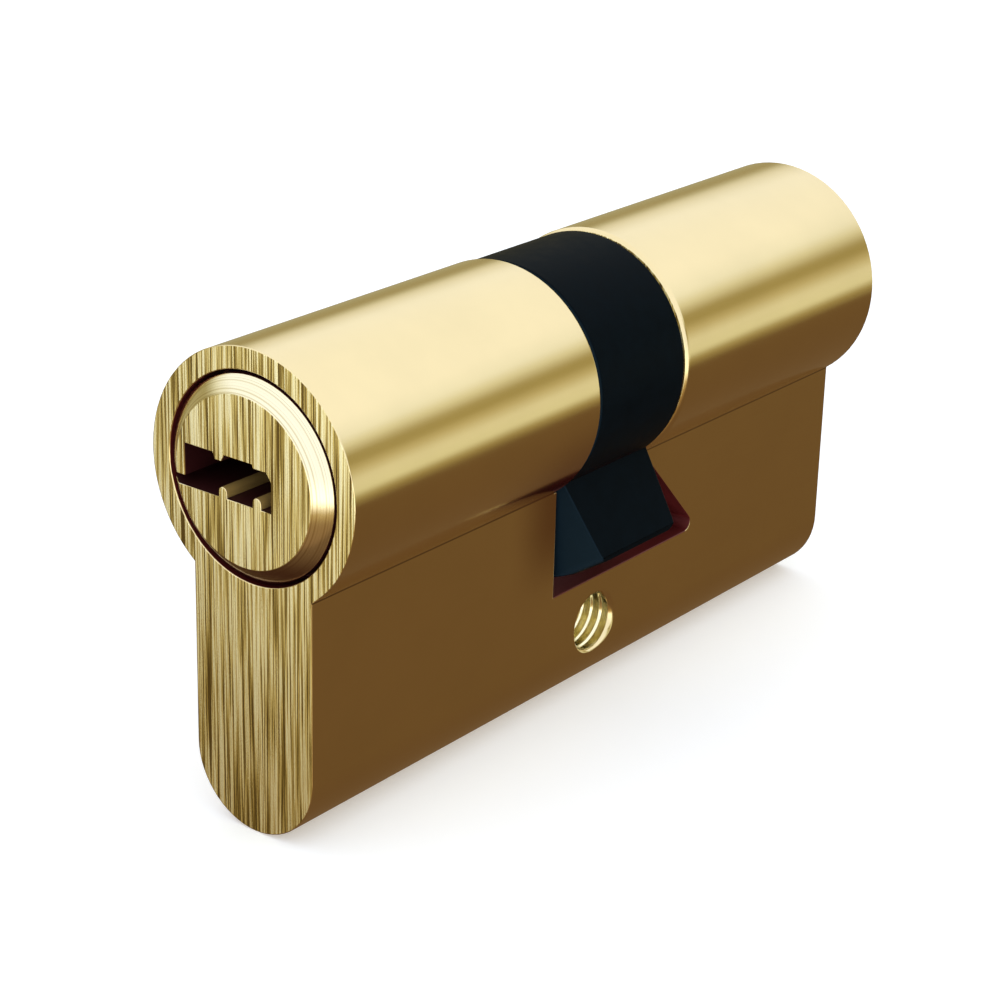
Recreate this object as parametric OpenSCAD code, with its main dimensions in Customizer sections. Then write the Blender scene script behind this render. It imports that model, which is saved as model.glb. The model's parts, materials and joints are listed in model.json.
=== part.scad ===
// Euro-profile double cylinder lock: one brass housing with a keyed plug at each end,
// a cam on a clutch between them, and five sprung pin stacks on each side.
//
// The lock's length runs along Y: the front face looks towards -Y, the rear face towards
// +Y, and +Z is up. The origin is the middle of the fixing-screw hole, because the
// lengths of such a lock are counted from it. Each half is drawn as the front one, with
// distances counted outwards from the middle of the cam; the rear half is the same
// drawing turned half a turn about Z. The pins stand at the shear line, as a cut key
// would hold them, so that both plugs are free to turn.

/* [Housing] */
// From the fixing hole to the front face
front_l = 30; // [29.5:0.5:60]
// From the fixing hole to the rear face
rear_l = 30; // [29.5:0.5:60]
// Diameter of the barrel round the plugs
barrel_d = 17; // [16:0.1:22]
// Width of the shank below the barrel
shank_w = 10; // [8.4:0.1:13]
// Overall height of the profile
profile_h = 33; // [31:0.5:44]
// Bevel on the barrel's edges at the cam
rim_bevel = 0.22; // [0.1:0.01:0.5]
// Depth of the recess that takes a plug's collar
recess_l = 2.4; // [1.5:0.1:3.2]

/* [Fixing screw hole] */
// Tapping diameter of the fixing-screw hole
screw_d = 4.2; // [3.2:0.1:5.2]
// Diameter of its bevelled mouths
screw_mouth_d = 4.8; // [4.4:0.1:6]
// From the plugs' axis down to the hole
screw_drop = 18.5; // [18:0.1:19.8]

/* [Plugs] */
// Diameter of a plug in its bore
plug_d = 13; // [12.4:0.1:13.4]
// How far the collar at a plug's outer end stands out over the plug
collar_step = 0.25; // [0.2:0.01:0.6]
// Width of the bevel round the flat face that the key meets
face_bevel = 1.1; // [0.6:0.1:1.4]
// How far that face stands out of the housing
face_rise = 0.8; // [0.3:0.1:1.5]
// How much smaller the inner end that carries the cam is all round
spigot_step = 1; // [0.7:0.1:1.2]
// Thickness of a retaining clip
clip_t = 0.8; // [0.5:0.05:1]
// How far a retaining clip stands out over that inner end
clip_step = 1.7; // [1.4:0.1:1.8]
// Depth of the clip's groove in the plug
groove_depth = 0.6; // [0.3:0.05:0.8]

/* [Keyway] */
// Height of the keyway above the plug's axis
key_top = 1.42; // [1.2:0.02:1.7]
// Depth of the keyway below the plug's axis
key_bottom = 1.4; // [1.2:0.02:1.7]
// From the axis to the closed side
key_right = 2.38; // [1.8:0.02:3]
// From the plug's surface to the wall on the open side
key_wall = 1.63; // [1.3:0.01:2.5]
// Height of the slit that runs out through the plug's side
slit_h = 0.65; // [0.4:0.05:0.9]
// Height of the rounded wards on the keyway's floor
ward_h = 0.7; // [0.4:0.05:0.8]

/* [Cam] */
// Width of the cam along the lock
cam_w = 9.9; // [9:0.1:10.4]
// How far the cam's ring lies below the barrel
cam_drop = 0.15; // [0:0.05:0.4]
// From the axis to the tip of the nose
nose_r = 14.3; // [13:0.1:15.2]
// Thickness of the nose
nose_t = 5.4; // [4:0.1:6.6]
// From the plane through the axis to the nose's leading side
nose_lead = 1.1; // [0.6:0.1:3]
// Angle of the nose from straight down
nose_turn = 33; // [0:1:45]
// How much the nose narrows at each end, from ring to tip
nose_taper = 0.65; // [0.05:0.05:1.5]
// Bevel along the leading edge of the nose's tip
nose_bevel = 0.3; // [0.1:0.05:0.8]
// Rounding of the two ends of that tip
nose_corner = 0.7; // [0.3:0.1:1.2]
// How far the milled relief beside the nose reaches along the rear half
relief_l = 12.5; // [8:0.5:14]

/* [Clutch] */
// From the end of a clutch dog to the surface of the plug's inner end
dog_inset = 0.8; // [0.6:0.1:1.3]
// Height of a clutch dog
dog_h = 3; // [2.4:0.1:3.4]
// Thickness of a clutch dog along the lock
dog_t = 3.2; // [2.8:0.1:3.3]
// Thickness of the web in the cam that a dog drives
web_t = 2.2; // [1.6:0.1:2.4]
// Diameter of the pockets that hold the clutch spring
pocket_d = 2.2; // [2:0.1:2.6]

/* [Pins] */
// From a face to its first pin
first_pin = 6; // [5.6:0.1:6.2]
// Distance between pins
pin_pitch = 4; // [3.4:0.1:4]
// Diameter of the pins
pin_d = 2.6; // [2.2:0.1:2.8]
// Diameter of a key pin's tip
tip_d = 1.7; // [1.2:0.1:1.8]
// Length of a key pin's tip
tip_l = 2.6; // [2.2:0.1:2.8]
// How high the tips stand over the axis with no key in
tip_top = 0.55; // [0.2:0.05:1]
// Length of a driver pin
driver_l = 5; // [4:0.1:6]
// Difference between two neighbouring key cuts
cut_step = 0.3; // [0.2:0.05:0.3]
// Thickness of the pin springs' wire
wire_d = 0.3; // [0.2:0.02:0.36]
// Length of the caps that close the pin chambers
cap_l = 2; // [1.5:0.1:3]
// Diameter of the hardened pin in each end of the housing
guard_d = 2; // [1.4:0.1:2.2]
// Diameter of the hardened pins in a plug
plug_guard_d = 1.5; // [1:0.1:1.6]

/* [Fits] */
// Gap all round between a plug and its bore, and a spigot and the cam
plug_play = 0.05; // [0.02:0.01:0.08]
// Gap all round a pin in its chamber
pin_play = 0.05; // [0.02:0.01:0.08]
// Gap between a plug's surface and the ends of the pins
shear_play = 0.03; // [0.02:0.01:0.04]
// Gap all round a plug's collar
collar_gap = 0.25; // [0.1:0.05:0.3]
// Gap at each side of the cam
cam_gap = 0.1; // [0.05:0.01:0.2]
// Gap under the cam's nose as it passes the slot's floor
nose_gap = 0.55; // [0.3:0.05:0.8]
// Gap all round a clutch dog
dog_play = 0.05; // [0.03:0.01:0.1]
// End play of each plug and clip
end_play = 0.05; // [0.03:0.01:0.1]

/* [Hidden] */
PINS = [1, 2, 3, 4, 5];
SIDES = ["front", "rear"];
// Depth of the key cut that each pin rests in, counted in steps from the shallowest
FRONT_CODE = [4, 2, 6, 3, 5];
REAR_CODE = [3, 5, 2, 6, 4];
// Driver pins with a thin waist, which jam when they are picked
WAISTED = [2, 4];

$fn = 64;
// Overshoot of a cut past the face that it opens
over = 0.5;

barrel_r = barrel_d / 2;
plug_r = plug_d / 2;
bore_d = plug_d + 2 * plug_play;
collar_d = plug_d + 2 * collar_step;
face_d = collar_d - 2 * face_bevel;
spigot_d = plug_d - 2 * spigot_step;
clip_d = spigot_d + 2 * clip_step;
cam_d = barrel_d - 2 * cam_drop;
dog_w = spigot_d - 2 * dog_inset;
key_left = plug_r - key_wall;
recess_d = collar_d + 2 * collar_gap;
chamber_d = pin_d + 2 * pin_play;
tip_hole_d = tip_d + 0.2;

// Heights are counted from the plugs' axis
shank_bottom = barrel_r - profile_h;
shank_round = shank_bottom + shank_w / 2;
shank_top = -sqrt(pow(barrel_r, 2) - pow(shank_w / 2, 2));

// The gap that the cam turns in, and the slot that its nose passes through
gap_half = cam_w / 2 + cam_gap;
slot_floor = -(nose_r + nose_gap);
relief_corner_r = 0.6;
relief_wall = 0.9;
relief_depth = shank_w / 2 - chamber_d / 2 - relief_wall;

// Inner ends of the plugs, counted outwards from the middle of the cam
web_half = web_t / 2;
spigot_from = web_half + 0.1;
body_from = gap_half + end_play;
clip_to = gap_half - end_play;
groove_d = spigot_d - 2 * groove_depth;
cam_bore_d = spigot_d + 2 * plug_play;
cam_recess_d = clip_d + 0.5;
cam_recess_from = clip_to - clip_t - 0.25;
edge = 0.2;

// The engaged dog reaches through the web, the free dog stays clear of it
dog_clear = 0.2;
dog_in = -(web_half - dog_clear);
dog_out = web_half + dog_clear;
dog_slot_to = dog_out + dog_t + dog_clear;
pocket_depth = dog_t - 1.2;
web_bore_d = pocket_d + 3;

// Pin stacks
tip_step = tip_top - tip_l;
shear = -plug_r;
driver_top = shear - shear_play;
driver_bottom = driver_top - driver_l;
cap_top = shank_bottom + cap_l;
spring_r = pin_d / 2 - wire_d / 2 - 0.15;
spring_turns = 7;
seat_gap = 0.02;
guard_depth = 2.1;
plug_guard_depth = recess_l + 1;
plug_guard_from = max(key_top, key_bottom) + 0.8;

function length_of(rear) = rear ? rear_l : front_l;
function pin_place(i, rear) = length_of(rear) - first_pin - (i - 1) * pin_pitch;
function lift(i, rear) = cut_step * (rear ? REAR_CODE[i - 1] : FRONT_CODE[i - 1]);

// Moves what is drawn about the plugs' axis up to its place above the fixing hole
module at_axis() translate([0, 0, screw_drop]) children();

// Draws a front half, or the same half turned to the rear
module half(rear) rotate([0, 0, rear ? 180 : 0]) children();

// A round bar on the plugs' axis
module bar(d, from, to) translate([0, -from, 0]) rotate([90, 0, 0]) cylinder(d = d, h = to - from);

// A prism along the lock with the section that follows, seen from the front
module along(from, to) translate([0, -from, 0]) rotate([90, 0, 0]) linear_extrude(to - from) children();

// A body turned about the plugs' axis, from its radii and places along the lock
module turned(outline) rotate([90, 0, 0]) rotate_extrude() polygon(outline);

// An upright round post, for pins and their holes
module post(d, place, from, to) translate([0, -place, from]) cylinder(d = d, h = to - from);

// Section of the housing: barrel, shank and full-round bottom edge
module profile() {
    circle(d = barrel_d);
    translate([-shank_w / 2, shank_round]) square([shank_w, -shank_round]);
    translate([0, shank_round]) circle(d = shank_w);
}

// Section of the keyway, seen from outside: open to the left through a low slit,
// with one square ward hanging from the roof and two rounded wards on the floor
module keyway() {
    roof_ward = [[-2.5, key_top], [-2.3, key_top - 0.45], [-1.75, key_top - 0.45], [-1.5, key_top]];
    roof_step = [[0.8, key_top], [0.9, key_top - 0.25], [key_right - 0.4, key_top - 0.25], [key_right, key_top - 0.8]];
    difference() {
        polygon(concat(
            [[-key_left, key_top]], roof_ward, roof_step,
            [[key_right, -key_bottom], [-plug_r - over, -key_bottom]],
            [[-plug_r - over, -key_bottom + slit_h], [-key_left, -key_bottom + slit_h]]
        ));
        for (x = [-1.66, 1.2]) {
            translate([x, ward_h / 2 - key_bottom]) circle(d = ward_h);
            translate([x - ward_h / 2, -key_bottom - over]) square([ward_h, over + ward_h / 2]);
        }
    }
}

// The relief beside the cam: it widens downwards and ends in a small round corner
module relief() {
    slant = atan2(relief_l - gap_half, shank_top - slot_floor);
    reach = relief_corner_r * tan((90 + slant) / 2);
    centre = [relief_l - reach, slot_floor + relief_corner_r];
    corner = [for (step = [0:8]) let (a = (90 + slant) * step / 8 - 90)
        centre + relief_corner_r * [cos(a), sin(a)]];
    translate([shank_w / 2 - relief_depth, 0, 0]) rotate([90, 0, 90]) linear_extrude(relief_depth + over)
        polygon(concat([[gap_half, shank_top], [0, shank_top], [0, slot_floor]], corner));
}

// Everything bored into one end of the housing
module end_bores(rear) {
    face = length_of(rear);
    bar(bore_d, gap_half - over, face);
    bar(recess_d, face - recess_l, face + over);
    for (i = PINS) post(chamber_d, pin_place(i, rear), shank_bottom - over, shear + 1);
    post(guard_d, face - guard_depth, shank_bottom - over, guard_top());
}

function guard_top() = -recess_d / 2 - 1;

module housing() color("goldenrod") at_axis() difference() {
    along(-rear_l, front_l) profile();
    bar(barrel_d + 2, -gap_half, gap_half);
    for (turn = [0, 180]) rotate([0, 0, turn]) turned([
        [barrel_r - rim_bevel, gap_half - over], [barrel_r + 0.05, gap_half - over],
        [barrel_r + 0.05, gap_half + rim_bevel + 0.05], [barrel_r - rim_bevel, gap_half]
    ]);
    translate([-shank_w, -gap_half, slot_floor]) cube([2 * shank_w, 2 * gap_half, shank_top - slot_floor]);
    relief();
    for (rear = [false, true]) half(rear) end_bores(rear);
    translate([0, 0, -screw_drop]) for (turn = [0, 180]) rotate([0, 90, turn]) {
        cylinder(d = screw_d, h = shank_w / 2 + over);
        translate([0, 0, shank_w / 2 - (screw_mouth_d - screw_d) / 2])
            cylinder(d1 = screw_d, d2 = screw_mouth_d + 2 * over, h = (screw_mouth_d - screw_d) / 2 + over);
    }
}

module plug(rear) color("gold") at_axis() half(rear) {
    face = length_of(rear);
    difference() {
        turned([
            [0, spigot_from], [spigot_d / 2 - edge, spigot_from], [spigot_d / 2, spigot_from + edge],
            [spigot_d / 2, clip_to - clip_t - end_play], [groove_d / 2, clip_to - clip_t - end_play],
            [groove_d / 2, body_from], [plug_r, body_from],
            [plug_r, face - recess_l + end_play], [collar_d / 2, face - recess_l + end_play],
            [collar_d / 2, face - edge / 2], [face_d / 2, face + face_rise], [0, face + face_rise]
        ]);
        along(dog_slot_to - over, face + face_rise + over) keyway();
        translate([-plug_r, -dog_slot_to, -dog_h / 2 - dog_play])
            cube([plug_d, dog_slot_to, dog_h + 2 * dog_play]);
        for (i = PINS) {
            post(chamber_d, pin_place(i, rear), shear - over, tip_step);
            post(tip_hole_d, pin_place(i, rear), tip_step - over, 0);
        }
        plug_guard_holes(face);
    }
}

// Holes across the plug, just behind its collar, for the two hardened pins
module plug_guard_holes(face) {
    post(plug_guard_d, face - plug_guard_depth, plug_guard_from, plug_r + over);
    post(plug_guard_d, face - plug_guard_depth, -plug_r - over, -plug_guard_from);
}

module plug_guards(rear) color("dimgray") at_axis() half(rear) {
    place = length_of(rear) - plug_guard_depth;
    post(plug_guard_d, place, plug_guard_from, plug_r - edge);
    post(plug_guard_d, place, edge - plug_r, -plug_guard_from);
}

module guard_pin(rear) color("dimgray") at_axis() half(rear) intersection() {
    post(guard_d, length_of(rear) - guard_depth, shank_bottom, guard_top());
    along(0, length_of(rear)) profile();
}

// Brass caps pressed into the chambers and dressed flush with the round bottom edge
module chamber_caps(rear) color("darkgoldenrod") at_axis() half(rear) intersection() {
    union() for (i = PINS) post(chamber_d, pin_place(i, rear), shank_bottom, cap_top);
    along(0, length_of(rear)) profile();
}

// Open spring ring in the groove behind the cam gap's wall, which keeps the plug in
module clip(rear) color("silver") at_axis() half(rear) difference() {
    bar(clip_d, clip_to - clip_t, clip_to);
    bar(groove_d + 2 * end_play, 0, gap_half);
    translate([-groove_d / 4, -gap_half, 0]) cube([groove_d / 2, gap_half, clip_d]);
}

module cam() color("darkslategray") at_axis() {
    difference() {
        turned([
            [web_bore_d / 2, -web_half], [cam_bore_d / 2, -web_half],
            [cam_bore_d / 2, -cam_recess_from], [cam_recess_d / 2, -cam_recess_from],
            [cam_recess_d / 2, -cam_w / 2], [cam_d / 2 - edge, -cam_w / 2], [cam_d / 2, edge - cam_w / 2],
            [cam_d / 2, cam_w / 2 - edge], [cam_d / 2 - edge, cam_w / 2], [cam_recess_d / 2, cam_w / 2],
            [cam_recess_d / 2, cam_recess_from], [cam_bore_d / 2, cam_recess_from],
            [cam_bore_d / 2, web_half], [web_bore_d / 2, web_half]
        ]);
        intersection() {
            bar(dog_w + 4 * dog_play, -web_t, web_t);
            cube([plug_d, 2 * web_t, dog_h + 2 * dog_play], center = true);
        }
    }
    rotate([0, -nose_turn, 0]) nose();
}

// The nose: a block rooted in the ring, narrower towards its tip and rounded there
module nose() {
    root = cam_recess_d / 2 + 0.1;
    half_w = cam_w / 2;
    lean = atan2(nose_taper, nose_r - root);
    centre = [half_w - nose_taper + nose_corner * (tan(lean) - 1 / cos(lean)), nose_corner - nose_r];
    corner = [for (step = [0:8]) let (a = (90 - lean) * step / 8 - 90)
        centre + nose_corner * [cos(a), sin(a)]];
    trailing = nose_lead - nose_t;
    difference() {
        intersection() {
            rotate([90, 0, 90]) translate([0, 0, trailing]) linear_extrude(nose_t) polygon(concat(
                [[-half_w, 0], [-half_w, -root]],
                [for (i = [8:-1:0]) [-corner[i][0], corner[i][1]]],
                corner, [[half_w, -root], [half_w, 0]]
            ));
            along(-half_w, half_w) polygon([
                [trailing, 0], [trailing, -nose_r], [nose_lead - nose_bevel, -nose_r],
                [nose_lead, nose_bevel - nose_r], [nose_lead, 0]
            ]);
            bar(2 * (nose_r + nose_gap / 4), -cam_w, cam_w);
        }
        bar(2 * root, -cam_w, cam_w);
    }
}

// Bar with round ends that slides in the slot of its plug and, pushed in, drives the cam
module clutch_dog(rear) color("slategray") at_axis() half(rear) {
    inner = rear ? dog_out : dog_in;
    difference() {
        intersection() {
            bar(dog_w, inner, inner + dog_t);
            translate([0, -inner - dog_t / 2, 0]) cube([dog_w, dog_t, dog_h], center = true);
        }
        bar(pocket_d, inner - over, inner + pocket_depth);
    }
}

// Tip-down brass pin whose lower end lies at the shear line
module key_pin(i, rear) color("khaki") at_axis() half(rear) translate([0, -pin_place(i, rear), 0]) {
    r = pin_d / 2;
    foot = shear + shear_play;
    shoulder = tip_step - seat_gap - lift(i, rear);
    tip = shoulder + tip_l;
    rotate_extrude($fn = 32) polygon([
        [0, foot], [r - 0.7, foot], [r, foot + 0.35], [r, shoulder - 0.15], [r - 0.15, shoulder],
        [tip_d / 2, shoulder], [tip_d / 2, tip - 0.5], [tip_d / 2 - 0.45, tip], [0, tip]
    ]);
}

module driver_pin(i, rear) color("lightsteelblue") at_axis() half(rear) translate([0, -pin_place(i, rear), 0]) {
    r = pin_d / 2;
    waist_r = r * 0.65;
    waist = len(search(i, WAISTED)) == 0 ? [] : [
        [r, driver_bottom + 1.2], [waist_r, driver_bottom + 1.5],
        [waist_r, driver_top - 1.5], [r, driver_top - 1.2]
    ];
    rotate_extrude($fn = 32) polygon(concat(
        [[0, driver_bottom], [r - 0.3, driver_bottom], [r, driver_bottom + 0.3]], waist,
        [[r, driver_top - 0.3], [r - 0.3, driver_top], [0, driver_top]]
    ));
}

// Compression spring about Z with one close turn at each end: a six-sided wire carried
// round a helix, with a ring of corners at every step
module coil(r, wire, from, to, turns) {
    steps = 8;
    corners = 6;
    rings = steps * turns;
    close_rise = wire * 1.08;
    free_rise = (to - from - wire - 2 * close_rise) / (turns - 2);
    function height(t) = from + wire / 2
        + close_rise * min(t, 1) + free_rise * max(0, min(t, turns - 1) - 1) + close_rise * max(0, t - turns + 1);
    points = [for (n = [0:rings], k = [0:corners - 1])
        let (a = 360 * n / steps, b = 360 * k / corners, out = r + wire / 2 * cos(b))
        [out * cos(a), out * sin(a), height(n / steps) + wire / 2 * sin(b)]];
    walls = [for (n = [0:rings - 1], k = [0:corners - 1], upper = [false, true])
        let (a = n * corners + k, b = n * corners + (k + 1) % corners)
        upper ? [a, b + corners, a + corners] : [a, b, b + corners]];
    ends = [[for (k = [corners - 1:-1:0]) k], [for (k = [0:corners - 1]) rings * corners + k]];
    polyhedron(points, concat(walls, ends), convexity = 8);
}

module pin_spring(i, rear) color("silver") at_axis() half(rear) translate([0, -pin_place(i, rear), 0])
    coil(spring_r, wire_d, cap_top + seat_gap, driver_bottom - seat_gap, spring_turns);

// Sits in the pockets of both dogs and keeps them apart
module clutch_spring() color("silver") at_axis() rotate([90, 0, 0]) {
    wire = 0.26;
    coil(pocket_d / 2 - wire / 2 - 0.2, wire, -dog_out - pocket_depth + seat_gap, dog_in + pocket_depth - seat_gap, 6);
}

housing();
cam();
clutch_spring();
for (side = SIDES) let (rear = side == "rear") {
    plug(rear);
    clip(rear);
    clutch_dog(rear);
    plug_guards(rear);
    guard_pin(rear);
    chamber_caps(rear);
    for (i = PINS) {
        key_pin(i, rear);
        driver_pin(i, rear);
        pin_spring(i, rear);
    }
}
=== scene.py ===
import json
import math

import bmesh
import bpy
import numpy as np
from mathutils import Matrix, Vector

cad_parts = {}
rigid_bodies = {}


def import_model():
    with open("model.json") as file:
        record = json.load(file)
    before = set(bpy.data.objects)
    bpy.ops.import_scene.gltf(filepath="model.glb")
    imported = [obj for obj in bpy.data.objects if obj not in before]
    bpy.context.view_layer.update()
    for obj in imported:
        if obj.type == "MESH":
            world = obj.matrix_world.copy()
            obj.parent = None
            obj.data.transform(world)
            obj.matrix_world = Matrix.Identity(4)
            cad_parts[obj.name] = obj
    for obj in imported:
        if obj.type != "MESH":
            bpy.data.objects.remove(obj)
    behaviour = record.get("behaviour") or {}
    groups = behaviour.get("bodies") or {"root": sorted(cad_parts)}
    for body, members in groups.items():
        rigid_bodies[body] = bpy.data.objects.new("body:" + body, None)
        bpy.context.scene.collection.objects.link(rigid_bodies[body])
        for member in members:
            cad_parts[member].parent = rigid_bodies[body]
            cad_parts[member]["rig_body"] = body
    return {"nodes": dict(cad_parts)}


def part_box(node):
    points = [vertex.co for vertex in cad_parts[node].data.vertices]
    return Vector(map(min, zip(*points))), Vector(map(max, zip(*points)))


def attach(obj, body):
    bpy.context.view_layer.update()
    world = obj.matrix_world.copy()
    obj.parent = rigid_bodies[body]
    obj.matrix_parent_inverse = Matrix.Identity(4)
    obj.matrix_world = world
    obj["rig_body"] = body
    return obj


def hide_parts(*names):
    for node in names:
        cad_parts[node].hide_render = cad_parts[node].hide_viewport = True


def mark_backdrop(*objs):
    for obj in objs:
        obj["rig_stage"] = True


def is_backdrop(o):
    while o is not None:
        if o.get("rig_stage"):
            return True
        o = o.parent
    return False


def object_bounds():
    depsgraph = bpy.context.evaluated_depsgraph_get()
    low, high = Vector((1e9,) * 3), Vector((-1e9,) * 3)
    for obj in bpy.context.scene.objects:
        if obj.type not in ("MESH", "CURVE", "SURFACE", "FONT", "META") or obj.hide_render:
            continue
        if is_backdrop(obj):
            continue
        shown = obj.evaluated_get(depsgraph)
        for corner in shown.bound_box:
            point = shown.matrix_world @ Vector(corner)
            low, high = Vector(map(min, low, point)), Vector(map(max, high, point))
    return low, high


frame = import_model()
cad_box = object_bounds()
MM = 0.001

# ---- Camera -------------------------------------------------------------------------
# A long lens from the front right, a little above the lock, rolled a degree and a half.
CAMERA_AT = Vector((102.93, -138.51, 77.53)) * MM
LENS_LENGTH, FILM_WIDTH = 93.87, 36
AZIMUTH, HEIGHT, ROLL = (math.radians(d) for d in (37.612, 21.943, 1.516))
level = Vector((math.cos(AZIMUTH), math.sin(AZIMUTH), 0))
away = Vector((math.sin(AZIMUTH) * math.cos(HEIGHT), -math.cos(AZIMUTH) * math.cos(HEIGHT),
               math.sin(HEIGHT)))
plumb = away.cross(level)
rightward = math.cos(ROLL) * level + math.sin(ROLL) * plumb
upward = math.cos(ROLL) * plumb - math.sin(ROLL) * level
lens = bpy.data.cameras.new("lens")
lens.lens, lens.sensor_width = LENS_LENGTH, FILM_WIDTH
lens.clip_start, lens.clip_end = 0.005, 20
camera = bpy.data.objects.new("camera", lens)
aim = Matrix((rightward, upward, away)).transposed().to_4x4()
aim.translation = CAMERA_AT
camera.matrix_world = aim
bpy.context.scene.collection.objects.link(camera)
bpy.context.scene.camera = camera
bpy.context.scene.view_settings.view_transform = "Standard"


# ---- Studio -------------------------------------------------------------------------
# A light tent: white above, a dim band near the horizon, warm and dark below, and a bright
# wall ahead of the lock. The lock stands on white paper with a white wall far round it.
def nodes_of(owner):
    """Clears a material's or world's nodes; returns makers of nodes and of links."""
    owner.use_nodes = True
    tree = owner.node_tree
    tree.nodes.clear()

    def add(kind, **settings):
        node = tree.nodes.new(kind)
        for name, value in settings.items():
            setattr(node, name, value)
        return node

    def link(start, end):
        tree.links.new(start, end)

    return add, link


def ramp_of(add, stops):
    """A colour ramp from (place, (red, green, blue)) stops."""
    ramp = add("ShaderNodeValToRGB")
    elements = ramp.color_ramp.elements
    while len(elements) < len(stops):
        elements.new(0.5)
    for element, (place, colour) in zip(elements, stops):
        element.position, element.color = place, (*colour, 1)
    return ramp


def smooth_step(add, link, value, low, high):
    """0 below low, 1 above high, and an S curve between."""
    step = add("ShaderNodeMapRange", interpolation_type="SMOOTHSTEP")
    step.inputs["From Min"].default_value, step.inputs["From Max"].default_value = low, high
    link(value, step.inputs["Value"])
    return step.outputs["Result"]


def blend_of(add, link, factor, start, end, how="MIX"):
    """Mixes two colours; a plain tuple or number is taken as a constant."""
    mix = add("ShaderNodeMix", data_type="RGBA", blend_type=how)
    for socket, value in ((mix.inputs[0], factor), (mix.inputs[6], start), (mix.inputs[7], end)):
        if isinstance(value, bpy.types.NodeSocket):
            link(value, socket)
        else:
            socket.default_value = (*value, 1) if isinstance(value, tuple) else value
    return mix.outputs[2]


# Stops are a height above the horizon in degrees and the light that comes from there
WHITE = (1.10, 1.14, 1.20)
TENT_RIGHT = [(-90, (0.15, 0.085, 0.04)), (-18, (0.16, 0.095, 0.04)), (-13, (0.39, 0.32, 0.13)),
              (-9, (0.80, 0.80, 0.60)), (-2, (0.80, 0.79, 0.62)), (4, (0.58, 0.52, 0.30)),
              (9, (0.38, 0.32, 0.13)), (13, (0.40, 0.34, 0.15)), (19, (0.80, 0.80, 0.64)),
              (24, (1.0, 1.05, 1.08)), (33, WHITE), (90, WHITE)]
TENT_LEFT = [(-90, (0.15, 0.085, 0.04)), (-20, (0.18, 0.11, 0.05)), (-10, (0.42, 0.37, 0.20)),
             (9, (0.37, 0.31, 0.14)), (13, (0.50, 0.46, 0.28)), (18, (0.82, 0.80, 0.64)),
             (28, (1.06, 1.10, 1.14)), (90, WHITE)]
TENT_FRONT = [(-90, (0.20, 0.11, 0.06)), (-36, (0.28, 0.17, 0.07)), (-27, (0.52, 0.36, 0.13)),
              (-19, (1.80, 1.76, 1.52)), (-10, (1.45, 1.46, 1.40)), (0, WHITE), (90, WHITE)]
FRONT_AXIS = (0.17, -0.985, 0)
world = bpy.data.worlds.new("light_tent")
bpy.context.scene.world = world
add, link = nodes_of(world)
direction = add("ShaderNodeTexCoord").outputs["Generated"]
split = add("ShaderNodeSeparateXYZ")
link(direction, split.inputs[0])
height = add("ShaderNodeMath", operation="MULTIPLY_ADD")
height.inputs[1].default_value = height.inputs[2].default_value = 0.5
link(split.outputs["Z"], height.inputs[0])
ahead = add("ShaderNodeVectorMath", operation="DOT_PRODUCT")
ahead.inputs[1].default_value = FRONT_AXIS
link(direction, ahead.inputs[0])
walls = []
for stops in (TENT_LEFT, TENT_RIGHT, TENT_FRONT):
    wall = ramp_of(add, [((math.sin(math.radians(angle)) + 1) / 2, colour) for angle, colour in stops])
    link(height.outputs[0], wall.inputs[0])
    walls.append(wall.outputs[0])
sides = blend_of(add, link, smooth_step(add, link, split.outputs["X"], -0.35, 0.35), walls[0], walls[1])
whole = blend_of(add, link, smooth_step(add, link, ahead.outputs["Value"], 0.51, 0.61), sides, walls[2])
tent = add("ShaderNodeBackground")
link(whole, tent.inputs[0])
link(tent.outputs[0], add("ShaderNodeOutputWorld").inputs[0])

FLOOR_HALF = 3.0
FLOOR_AT = cad_box[0].z - 0.02 * MM
sweep = bpy.data.meshes.new("floor")
corners = [(x * FLOOR_HALF, y * FLOOR_HALF, FLOOR_AT) for x, y in ((-1, -1), (1, -1), (1, 1), (-1, 1))]
sweep.from_pydata(corners, [], [(0, 1, 2, 3)])
floor = bpy.data.objects.new("floor", sweep)
bpy.context.scene.collection.objects.link(floor)
floor.visible_glossy = False
floor.visible_shadow = False
paper = bpy.data.materials.new("white_paper")
add, link = nodes_of(paper)
matt = add("ShaderNodeBsdfDiffuse")
matt.inputs["Color"].default_value = (0.86, 0.87, 0.90, 1)
glow = add("ShaderNodeEmission")
glow.inputs["Strength"].default_value = 0.30
both = add("ShaderNodeAddShader")
link(matt.outputs[0], both.inputs[0])
link(glow.outputs[0], both.inputs[1])
link(both.outputs[0], add("ShaderNodeOutputMaterial").inputs["Surface"])
sweep.materials.append(paper)

# A white wall far round the floor, which only the camera sees
WALL_R, WALL_SIDES = 0.97 * FLOOR_HALF, 48
WALL_FOOT, WALL_TOP = FLOOR_AT - MM, FLOOR_AT + 2 * FLOOR_HALF
around = np.linspace(0, 2 * np.pi, WALL_SIDES, endpoint=False)
ring = np.stack([WALL_R * np.cos(around), WALL_R * np.sin(around), np.zeros(WALL_SIDES)], -1)
wall_points = np.concatenate([ring + (0, 0, WALL_FOOT), ring + (0, 0, WALL_TOP)])
first = np.arange(WALL_SIDES)
following = (first + 1) % WALL_SIDES
wall_faces = np.stack([first, first + WALL_SIDES, following + WALL_SIDES, following], -1)
backdrop_mesh = bpy.data.meshes.new("backdrop")
backdrop_mesh.from_pydata(wall_points, [], wall_faces.tolist())
backdrop = bpy.data.objects.new("backdrop", backdrop_mesh)
bpy.context.scene.collection.objects.link(backdrop)
for ray in ("diffuse", "glossy", "transmission", "volume_scatter", "shadow"):
    setattr(backdrop, "visible_" + ray, False)
lit_paper = bpy.data.materials.new("lit_paper")
add, link = nodes_of(lit_paper)
glow = add("ShaderNodeEmission")
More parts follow.
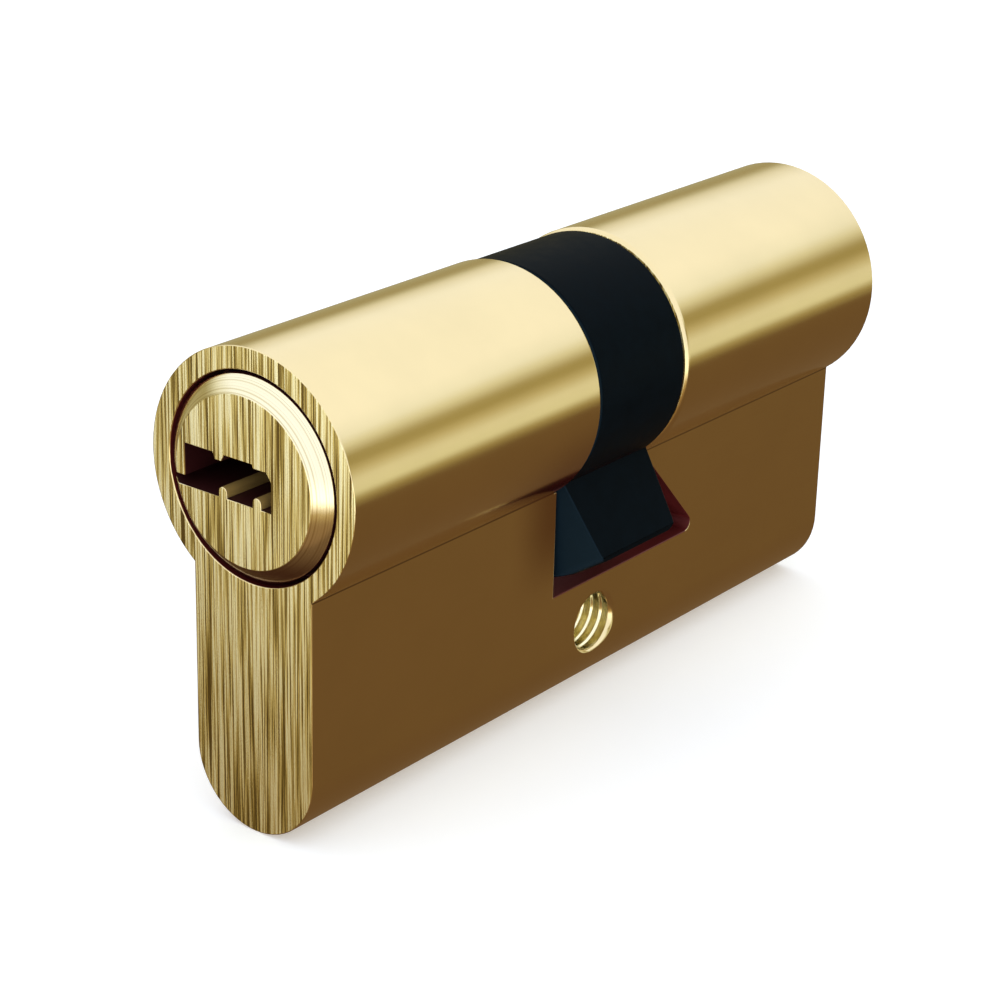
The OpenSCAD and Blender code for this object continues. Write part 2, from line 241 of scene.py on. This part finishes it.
glow.inputs["Strength"].default_value = 1.0
link(glow.outputs[0], add("ShaderNodeOutputMaterial").inputs["Surface"])
backdrop_mesh.materials.append(lit_paper)
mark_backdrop(floor, backdrop)


# ---- Housing ------------------------------------------------------------------------
# Extruded free-machining brass, bored from both ends, slotted for the cam and lacquered.
# The two end faces are brushed upright; the barrel and the flanks are satin.
def field(add, link, scale, detail, rough, stretch=(1, 1, 1), turn=0.0):
    """A noise value on the piece's own coordinates, in waves to the metre: the coordinates
    are turned about Z, stretched and scaled first."""
    place = add("ShaderNodeTexCoord")
    lay = add("ShaderNodeMapping")
    lay.inputs["Scale"].default_value = stretch
    lay.inputs["Rotation"].default_value = (0, 0, turn)
    link(place.outputs["Object"], lay.inputs["Vector"])
    noise = add("ShaderNodeTexNoise")
    noise.inputs["Scale"].default_value = scale
    noise.inputs["Detail"].default_value = detail
    noise.inputs["Roughness"].default_value = rough
    link(lay.outputs["Vector"], noise.inputs["Vector"])
    return noise.outputs["Fac"]


def numbers(add, link, operation, *values):
    """A Math node on sockets and numbers."""
    step = add("ShaderNodeMath", operation=operation)
    for socket, value in zip(step.inputs, values):
        if isinstance(value, bpy.types.NodeSocket):
            link(value, socket)
        else:
            socket.default_value = value
    return step.outputs[0]


def all_of(add, link, *masks):
    """The product of several masks: 1 only where all of them are 1."""
    whole = masks[0]
    for mask in masks[1:]:
        whole = numbers(add, link, "MULTIPLY", whole, mask)
    return whole


def any_of(add, link, *masks):
    """The greatest of several masks: 1 where any of them is 1."""
    whole = masks[0]
    for mask in masks[1:]:
        whole = numbers(add, link, "MAXIMUM", whole, mask)
    return whole


def above(add, link, value, limit):
    """1 where a value is over a limit, and 0 elsewhere."""
    return numbers(add, link, "GREATER_THAN", value, limit)


def below(add, link, value, limit):
    """1 where a value is under a limit, and 0 elsewhere."""
    return numbers(add, link, "LESS_THAN", value, limit)


def fading(add, link, value, low, high):
    """1 below low, 0 above high, and an S curve between."""
    return numbers(add, link, "SUBTRACT", 1.0, smooth_step(add, link, value, low, high))


BRASS = (0.90, 0.74, 0.42)
BRUSHED = [(0.40, (0.13, 0.080, 0.012)), (0.46, (0.40, 0.295, 0.07)), (0.51, (0.78, 0.65, 0.26)),
           (0.57, (1.0, 0.97, 0.66))]
# Dark red painted shade for the housing's slot, relief, sill and bores
PAINTED_SHADE_RED = (0.115, 0.010, 0.010)
AXIS_Z = 18.5 * MM


def within(add, link, value, low, high):
    """1 where a value lies between low and high, and 0 outside."""
    half = (high - low) / 2
    off = numbers(add, link, "ABSOLUTE", numbers(add, link, "SUBTRACT", value, low + half))
    return numbers(add, link, "LESS_THAN", off, half)


def apart(add, link, across, up):
    """The length of the diagonal over two distances at right angles."""
    square = numbers(add, link, "MULTIPLY_ADD", across, across, numbers(add, link, "MULTIPLY", up, up))
    return numbers(add, link, "SQRT", square)


def where_on(add, link):
    """The piece's own coordinates about the plugs' axis: x, y, height over it and radius
    from it, and how squarely the surface faces along the lock."""
    place = add("ShaderNodeTexCoord")
    at, facing = add("ShaderNodeSeparateXYZ"), add("ShaderNodeSeparateXYZ")
    link(place.outputs["Object"], at.inputs[0])
    link(place.outputs["Normal"], facing.inputs[0])
    x, y = at.outputs["X"], at.outputs["Y"]
    z = numbers(add, link, "SUBTRACT", at.outputs["Z"], AXIS_Z)
    return x, y, z, apart(add, link, x, z), numbers(add, link, "ABSOLUTE", facing.outputs["Y"])


def brass_finish(name, seed, tint):
    """Lacquered brass: upright brushed streaks on faces square to the lock's length and a
    fine satin elsewhere. tint(add, link, colour, where) returns the colour with its painted
    shade and highlights, and where it is dull, or None if it is bright all over."""
    material = bpy.data.materials.new(name)
    add, link = nodes_of(material)
    where = where_on(add, link)
    end_face = smooth_step(add, link, where[4], 0.93, 0.99)
    fine = field(add, link, 1, 2, 0.6, (8200, 40, 110), seed)
    broad = field(add, link, 1, 2, 0.6, (2900, 40, 60), seed)
    streak = numbers(add, link, "ADD", numbers(add, link, "MULTIPLY", fine, 0.6),
                     numbers(add, link, "MULTIPLY", broad, 0.4))
    brushed = ramp_of(add, BRUSHED)
    link(streak, brushed.inputs[0])
    cloud = field(add, link, 120, 3, 0.6)
    satin = ramp_of(add, [(0.3, tuple(0.95 * c for c in BRASS)), (0.7, BRASS)])
    link(cloud, satin.inputs[0])
    colour = blend_of(add, link, end_face, satin.outputs[0], brushed.outputs[0])
    grain = field(add, link, 1, 3, 0.7, (3000, 90, 3000))
    rough = numbers(add, link, "MULTIPLY_ADD", grain, 0.07, 0.10)
    rough = numbers(add, link, "ADD", rough, numbers(add, link, "MULTIPLY", end_face, 0.12))
    relief = numbers(add, link, "ADD", numbers(add, link, "MULTIPLY", streak, end_face),
                     numbers(add, link, "MULTIPLY", grain, 0.10))
    bump = add("ShaderNodeBump")
    bump.inputs["Strength"].default_value = 0.4
    bump.inputs["Distance"].default_value = 0.02 * MM
    link(relief, bump.inputs["Height"])
    metal = add("ShaderNodeBsdfPrincipled")
    metal.inputs["Coat Weight"].default_value = 0.25
    metal.inputs["Coat Roughness"].default_value = 0.2
    colour, dull = tint(add, link, colour, where)
    link(colour, metal.inputs["Base Color"])
    metal.inputs["Metallic"].default_value = 1.0
    if dull:
        rough = numbers(add, link, "MULTIPLY_ADD", dull, 0.35, rough)
        link(numbers(add, link, "MULTIPLY_ADD", dull, -0.7, 1.0), metal.inputs["Metallic"])
    link(rough, metal.inputs["Roughness"])
    link(bump.outputs[0], metal.inputs["Normal"])
    link(metal.outputs[0], add("ShaderNodeOutputMaterial").inputs["Surface"])
    return material


def grid_mesh(name, points, closed_u=False, closed_v=False):
    """A mesh over a grid of points (u, v, xyz); a closed side joins its last row to its first."""
    nu, nv = points.shape[:2]
    u, v = np.meshgrid(np.arange(nu - (not closed_u)), np.arange(nv - (not closed_v)), indexing="ij")
    corner = lambda i, j: (i % nu) * nv + j % nv
    faces = np.stack([corner(u, v), corner(u + 1, v), corner(u + 1, v + 1), corner(u, v + 1)], -1)
    mesh = bpy.data.meshes.new(name)
    mesh.from_pydata(points.reshape(-1, 3), [], faces.reshape(-1, 4).tolist())
    return mesh


def placed(name, mesh, material, body):
    """Puts a mesh in the scene as a piece that moves with a body."""
    piece = bpy.data.objects.new(name, mesh)
    bpy.context.scene.collection.objects.link(piece)
    mesh.polygons.foreach_set("use_smooth", np.ones(len(mesh.polygons), bool))
    mesh.materials.append(material)
    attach(piece, body)
    return piece


FLAT_FOLD, SHARP_FOLD = math.radians(0.4), math.radians(28)
MERGE_CAD, MERGE_CUT = 0.0005 * MM, 0.002 * MM


def merged(node, drill=None):
    """A copy of a CAD node's mesh with its doubles merged and its flat faces made whole,
    cut by the drill if there is one; its outer corners are marked to be broken."""
    shape = bmesh.new()
    shape.from_mesh(frame["nodes"][node].data)
    bmesh.ops.remove_doubles(shape, verts=shape.verts, dist=MERGE_CAD)
    bmesh.ops.dissolve_limit(shape, angle_limit=FLAT_FOLD, verts=shape.verts, edges=shape.edges)
    mesh = bpy.data.meshes.new(node + "_piece")
    shape.to_mesh(mesh)
    if drill:
        blank = bpy.data.objects.new("blank", mesh)
        tool = bpy.data.objects.new("drill", drill)
        for piece in (blank, tool):
            bpy.context.scene.collection.objects.link(piece)
        cut = blank.modifiers.new("cut", "BOOLEAN")
        cut.object, cut.solver = tool, "EXACT"
        bpy.context.view_layer.update()
        mesh = bpy.data.meshes.new_from_object(blank.evaluated_get(bpy.context.evaluated_depsgraph_get()))
        mesh.name = node + "_piece"
        for piece in (blank, tool):
            bpy.data.objects.remove(piece)
        shape.clear()
        shape.from_mesh(mesh)
        bmesh.ops.remove_doubles(shape, verts=shape.verts, dist=MERGE_CUT)
        bmesh.ops.dissolve_degenerate(shape, edges=shape.edges, dist=MERGE_CUT)
    marks = shape.edges.layers.float.new("bevel_weight_edge")
    for edge in shape.edges:
        if len(edge.link_faces) == 2:
            fold = edge.calc_face_angle_signed()
            edge[marks] = float(fold > SHARP_FOLD)
            edge.smooth = fold > -SHARP_FOLD
    shape.to_mesh(mesh)
    shape.free()
    if "custom_normal" in mesh.attributes:
        mesh.attributes.remove(mesh.attributes["custom_normal"])
    mesh.materials.clear()
    return mesh


def edges_broken(piece, width):
    """Breaks a piece's marked edges and keeps its flat faces flat."""
    broken = piece.modifiers.new("broken_edges", "BEVEL")
    broken.width, broken.segments = width, 2
    broken.limit_method, broken.use_clamp_overlap = "WEIGHT", False
    flat = piece.modifiers.new("flat_faces", "WEIGHTED_NORMAL")
    flat.weight, flat.keep_sharp = 80, True
    return piece


def dressed(node, material, width, drill=None):
    """Stands a merged copy with broken edges in for a CAD node."""
    body = frame["nodes"][node]["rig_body"]
    piece = edges_broken(placed(node + "_piece", merged(node, drill), material, body), width)
    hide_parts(node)
    return piece


# Distances about the plugs' axis: the cam's slot, the relief that runs on from it along the
# right flank, its sill, and the corner between the barrel and the shank
SLOT_HALF, RELIEF_TO, RELIEF_CORNER = 5.05 * MM, 12.6 * MM, 11.15 * MM
SLOT_FLOOR, SILL_FROM, SILL_TO = -15.1 * MM, -14.93 * MM, -14.7 * MM
FLANK, CREASE_Z, BORE_R, BORE_TO = 5 * MM, -6.874 * MM, 7.03 * MM, 29.94 * MM
# Painted shade colours: a dark line in the corner between barrel and shank, and a reddish shade beside the
# slot
CREASE, PAINTED_SHADE_BROWN = (0.10, 0.035, 0.015), (0.24, 0.055, 0.03)


def housing_tint(add, link, colour, where):
    """Painted shade: dark red in the slot, the relief and the bores, a dark line in the corner
    between the barrel and the shank, and a reddish shade on the front half beside the slot."""
    x, y, z, radius, _ = where
    # Painted shade: the slot, the relief, its sill and the bores are painted dark red and made duller
    slot = all_of(add, link, within(add, link, x, -FLANK + 0.02 * MM, FLANK - 0.02 * MM),
                  within(add, link, y, -SLOT_HALF - 0.07 * MM, RELIEF_TO),
                  within(add, link, z, SLOT_FLOOR, -6.86 * MM))
    right_sill = all_of(add, link, within(add, link, y, -SLOT_HALF, RELIEF_CORNER), above(add, link, x, 0.0))
    sill = any_of(add, link, within(add, link, y, -SLOT_HALF, SLOT_HALF), right_sill)
    sill = all_of(add, link, sill, within(add, link, z, SILL_FROM, SILL_TO))
    bore = all_of(add, link, within(add, link, y, -BORE_TO, BORE_TO), below(add, link, radius, BORE_R))
    dull = any_of(add, link, slot, sill, bore)

    # Painted shade: a dark line along the corner between the barrel and the shank
    out = numbers(add, link, "SUBTRACT", numbers(add, link, "ABSOLUTE", x), FLANK)
    down = numbers(add, link, "SUBTRACT", z, CREASE_Z)
    crease = fading(add, link, apart(add, link, out, down), 0.03 * MM, 0.12 * MM)
    colour = blend_of(add, link, numbers(add, link, "MULTIPLY", crease, 0.75), colour, CREASE)

    # Painted shade: reddish brown on the front half beside the slot, on both flanks and on the barrel's
    # underside
    beside = all_of(add, link, smooth_step(add, link, y, -10.5 * MM, -5.3 * MM),
                    smooth_step(add, link, z, -15.5 * MM, -9 * MM), below(add, link, z, -6.88 * MM))
    under = all_of(add, link, smooth_step(add, link, y, -16 * MM, -5.6 * MM),
                   fading(add, link, z, -6.5 * MM, 0.5 * MM), above(add, link, z, -6.88 * MM))
    shade = numbers(add, link, "MULTIPLY_ADD", beside, 0.6, numbers(add, link, "MULTIPLY", under, 0.85))
    shade = all_of(add, link, shade, below(add, link, y, -4.9 * MM))
    colour = blend_of(add, link, shade, colour, PAINTED_SHADE_BROWN)
    # Paints the dark red shade where the surface is dull
    return blend_of(add, link, dull, colour, PAINTED_SHADE_RED), dull


def sealed(mesh):
    """Merges a mesh's doubles, which closes its poles."""
    shape = bmesh.new()
    shape.from_mesh(mesh)
    bmesh.ops.remove_doubles(shape, verts=shape.verts, dist=0.0001 * MM)
    shape.to_mesh(mesh)
    shape.free()
    return mesh


# The fixing hole is tapped M5: the drill opens it up to just past the thread's full depth
BORE_HALF = 4.6 * MM
THREAD_PITCH, THREAD_DEEP, THREAD_CREST = 0.8 * MM, 2.36 * MM, 2.22 * MM
turn = np.linspace(0, 2 * np.pi, 73)[:-1]


def round_x(place, radius):
    """Points at a place along X and a radius from it, for every angle of a turn."""
    place, radius = np.broadcast_arrays(place, radius)
    return np.stack([place, radius * np.cos(turn), radius * np.sin(turn)], -1)


drill_place = np.array([BORE_HALF, BORE_HALF, -BORE_HALF, -BORE_HALF])[:, None]
drill_radius = np.array([0, 1, 1, 0])[:, None] * (THREAD_DEEP + 0.02 * MM) * np.ones(len(turn))
drill = sealed(grid_mesh("drill", round_x(drill_place, drill_radius), closed_v=True))
housing_brass = brass_finish("satin_brass", 0.0, housing_tint)
dressed("housing", housing_brass, 0.07 * MM, drill)

# The thread itself: the radius swings between crest and root as the turn runs along X,
# and fades to the crest at the mouths. An outer wall closes the ring of metal.
along = np.linspace(-BORE_HALF, BORE_HALF, 236)[:, None]
swing = np.abs((along / THREAD_PITCH - turn / (2 * np.pi)) % 1 - 0.5) * 2
cut = np.clip((swing - 0.50) / 0.45, 0, 1) * np.clip((BORE_HALF - np.abs(along)) / (0.15 * MM), 0, 1)
thread = round_x(along, THREAD_CREST + (THREAD_DEEP - THREAD_CREST) * cut)
wall = round_x(np.array([[BORE_HALF], [-BORE_HALF]]), np.full((2, len(turn)), THREAD_DEEP + 0.01 * MM))
# Painted highlight: the thread's brass is blended most of the way to a pale cream
painted_highlight_brass = brass_finish("painted_highlight_brass", 0.9, lambda add, link, colour, where: (
    blend_of(add, link, 0.85, colour, (1.0, 0.94, 0.64)), None))
placed("fixing_thread", grid_mesh("fixing_thread", np.concatenate([thread, wall]), True, True),
       painted_highlight_brass, "housing")

# ---- Plugs --------------------------------------------------------------------------
# Turned brass, milled for the keyway and drilled for the pins. A wide bevel runs round
# the brushed face, and the keyway's walls are painted dark as shade.
# Painted shade in the keyway and round the collar, painted light on the ward tops, a painted highlight on
# the cone, the cone's turned rings, and painted shade under the cone
KEYWAY_SHADE, WARD_PAINTED_LIGHT = (0.040, 0.005, 0.006), (0.42, 0.27, 0.08)
CONE_HIGHLIGHT, CONE_LINE, CONE_UNDER_SHADE = (1.0, 0.94, 0.70), (0.50, 0.36, 0.12), (0.16, 0.04, 0.025)
WARDS = ((-2.05 * MM, -1.28 * MM), (0.82 * MM, 1.58 * MM))


def plug_tint(add, link, colour, where):
    """Painted shade on the keyway walls and on the collar in its recess, painted light on the
    ward tops, and a cone painted bright as a highlight, with fine turned rings, that painted
    shade darkens towards its underside."""
    x, y, z, radius, facing = where
    towards = numbers(add, link, "SIGN", numbers(add, link, "MULTIPLY", y, -1.0))
    across = numbers(add, link, "MULTIPLY", x, towards)
    # Painted shade: the keyway's walls and the collar's outer wall in its recess are painted very dark and
    # made duller
    wall = below(add, link, facing, 0.4)
    keyway = all_of(add, link, wall, within(add, link, z, -1.5 * MM, 1.5 * MM),
                    below(add, link, radius, 6.6 * MM))
    # Painted light: the tops of the wards inside the keyway are painted a paler gold
    ward = any_of(add, link, *(within(add, link, across, low, high) for low, high in WARDS))
    bright = all_of(add, link, keyway, ward, within(add, link, z, -1.36 * MM, -0.6 * MM))
    dull = any_of(add, link, keyway, all_of(add, link, wall, above(add, link, radius, 6.4 * MM)))

    # Painted highlight: the plug's cone is painted pale cream
    cone = all_of(add, link, within(add, link, facing, 0.5, 0.93), above(add, link, radius, 5.0 * MM))
    rings = add("ShaderNodeTexNoise", noise_dimensions="1D")
    rings.inputs["Scale"].default_value = 9000
    link(radius, rings.inputs["W"])
    line = smooth_step(add, link, rings.outputs["Fac"], 0.50, 0.66)
    # Painted shade: the cone darkens towards its underside
    under = fading(add, link, z, -5.6 * MM, -2.6 * MM)
    colour = blend_of(add, link, numbers(add, link, "MULTIPLY", cone, 0.8), colour, CONE_HIGHLIGHT)
    colour = blend_of(add, link, all_of(add, link, cone, line, 0.45), colour, CONE_LINE)
    colour = blend_of(add, link, all_of(add, link, cone, under, 0.9), colour, CONE_UNDER_SHADE)
    colour = blend_of(add, link, dull, colour, KEYWAY_SHADE)
    return blend_of(add, link, bright, colour, WARD_PAINTED_LIGHT), dull


plug_brass = brass_finish("plug_brass", 0.4, plug_tint)
for end in ("front", "rear"):
    dressed(end + "_plug", plug_brass, 0.05 * MM)

# ---- Cam ----------------------------------------------------------------------------
# Sintered steel, blackened. Its two end faces are coloured a little paler than its sides.
blackened = bpy.data.materials.new("blackened_steel")
add, link = nodes_of(blackened)
facing = where_on(add, link)[4]
mottle = field(add, link, 900, 4, 0.6)
tone = numbers(add, link, "MULTIPLY_ADD", smooth_step(add, link, facing, 0.3, 0.8), 0.8,
               numbers(add, link, "MULTIPLY", mottle, 0.2))
oxide = ramp_of(add, [(0.0, (0.0008, 0.0022, 0.0034)), (1.0, (0.0085, 0.0190, 0.0290))])
link(tone, oxide.inputs[0])
skin = add("ShaderNodeBsdfPrincipled")
skin.inputs["Specular IOR Level"].default_value = 0.02
link(oxide.outputs[0], skin.inputs["Base Color"])
link(numbers(add, link, "MULTIPLY_ADD", mottle, 0.2, 0.36), skin.inputs["Roughness"])
link(skin.outputs[0], add("ShaderNodeOutputMaterial").inputs["Surface"])
cam = dressed("cam", blackened, 0.10 * MM)
cam.visible_glossy = False

# ---- Pins ---------------------------------------------------------------------------
# Key pins are turned from nickel silver with a slim tip, drivers from steel, some with a
# waist that jams when they are picked. Both drop loose into the chambers.
def steel_finish(name, tone, rough, stretch, mottle=0.25):
    """Bare metal with a fine grain; stretch sets how the grain lies, in waves to the metre."""
    material = bpy.data.materials.new(name)
    add, link = nodes_of(material)
    grain = field(add, link, 1, 3, 0.6, stretch)
    cloud = field(add, link, 700, 3, 0.5)
    shade = ramp_of(add, [(0.3, tuple((1 - mottle) * c for c in tone)), (0.7, tone)])
    mean = numbers(add, link, "MULTIPLY_ADD", cloud, 0.5, numbers(add, link, "MULTIPLY", grain, 0.5))
    link(mean, shade.inputs[0])
    bump = add("ShaderNodeBump")
    bump.inputs["Strength"].default_value = 0.3
    bump.inputs["Distance"].default_value = 0.01 * MM
    link(grain, bump.inputs["Height"])
    metal = add("ShaderNodeBsdfPrincipled")
    metal.inputs["Metallic"].default_value = 1
    link(shade.outputs[0], metal.inputs["Base Color"])
    link(numbers(add, link, "MULTIPLY_ADD", grain, 0.2, rough), metal.inputs["Roughness"])
    link(bump.outputs[0], metal.inputs["Normal"])
    link(metal.outputs[0], add("ShaderNodeOutputMaterial").inputs["Surface"])
    return material


nickel = steel_finish("nickel_silver", (0.74, 0.70, 0.58), 0.12, (300, 300, 14000))
turned_steel = steel_finish("turned_steel", (0.60, 0.61, 0.62), 0.16, (300, 300, 14000))
for end in ("front", "rear"):
    for i in range(1, 6):
        dressed(f"{end}_key_pin_{i}", nickel, 0.04 * MM)
        dressed(f"{end}_driver_pin_{i}", turned_steel, 0.04 * MM)

# ---- Chamber caps -------------------------------------------------------------------
# Short brass plugs pressed into the chambers over the springs and dressed flush with the
# round bottom edge, so each shows as a faint ring there.
cap_brass = brass_finish("cap_brass", 0.7, lambda add, link, colour, where: (
    blend_of(add, link, 0.5, colour, (0.80, 0.60, 0.28)), None))
for end in ("front", "rear"):
    dressed(end + "_chamber_caps", cap_brass, 0.03 * MM)

# ---- Hardened pins ------------------------------------------------------------------
# Ground and hardened steel dowels, driven in against drilling: one up through each end of
# the housing and two across each plug.
hardened = steel_finish("hardened_steel", (0.42, 0.43, 0.45), 0.10, (300, 300, 20000), 0.35)
for end in ("front", "rear"):
    dressed(end + "_guard_pin", hardened, 0.05 * MM)
    dressed(end + "_plug_guards", hardened, 0.05 * MM)

# ---- Clips and clutch ---------------------------------------------------------------
# Each plug is kept in by a stamped spring-steel ring. The clutch dogs are sintered bars
# with round ends, one in the slot of each plug; the one pushed in drives the cam.
spring_steel = steel_finish("spring_steel", (0.50, 0.51, 0.54), 0.15, (5000, 5000, 5000))
sintered = steel_finish("sintered_steel", (0.36, 0.36, 0.37), 0.30, (9000, 9000, 9000), 0.4)
for end in ("front", "rear"):
    dressed(end + "_clip", spring_steel, 0.08 * MM)
    dressed(end + "_clutch_dog", sintered, 0.10 * MM)


# ---- Springs ------------------------------------------------------------------------
# Round music wire, wound with one closed turn at each end: one spring under every driver
# pin, and one between the clutch dogs.
def wound(node, wire, turns, along):
    """A coil in a CAD spring's box: a round wire carried round a helix about the axis
    along (0 X, 1 Y, 2 Z), with a slow first and last turn and a closed end."""
    low, high = (np.array(corner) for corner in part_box(node))
    middle, half = (low + high) / 2, (high - low) / 2
    side, up = [axis for axis in range(3) if axis != along]
    t = np.linspace(0, turns, 40 * turns + 1)[:, None]
    b = np.linspace(0, 2 * np.pi, 13)[:-1]
    closed = 1.08 * wire
    free = (2 * half[along] - wire - 2 * closed) / (turns - 2)
    rise = closed * (np.minimum(t, 1) + np.clip(t - turns + 1, 0, 1)) + free * np.clip(t - 1, 0, turns - 2)
    tube = np.clip(np.minimum(np.arange(len(t)), np.arange(len(t))[::-1]), 0, 1)[:, None] * wire / 2
    out = half[side] - wire / 2 + tube * np.cos(b)
    points = np.zeros((len(t), len(b), 3))
    points[..., side] = middle[side] + out * np.cos(2 * np.pi * t)
    points[..., up] = middle[up] + out * np.sin(2 * np.pi * t)
    points[..., along] = low[along] + wire / 2 + rise + tube * np.sin(b)
    coil = placed(node + "_piece", sealed(grid_mesh(node + "_piece", points, closed_v=True)), spring_steel,
                  frame["nodes"][node]["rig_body"])
    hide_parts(node)
    return coil


for end in ("front", "rear"):
    for i in range(1, 6):
        wound(f"{end}_pin_spring_{i}", 0.3 * MM, 7, 2)
wound("clutch_spring", 0.26 * MM, 6, 1)

# ---- Finish -------------------------------------------------------------------------
seen_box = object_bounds()
({"cad": [list(corner) for corner in cad_box],
           "visual": [list(corner) for corner in seen_box]})
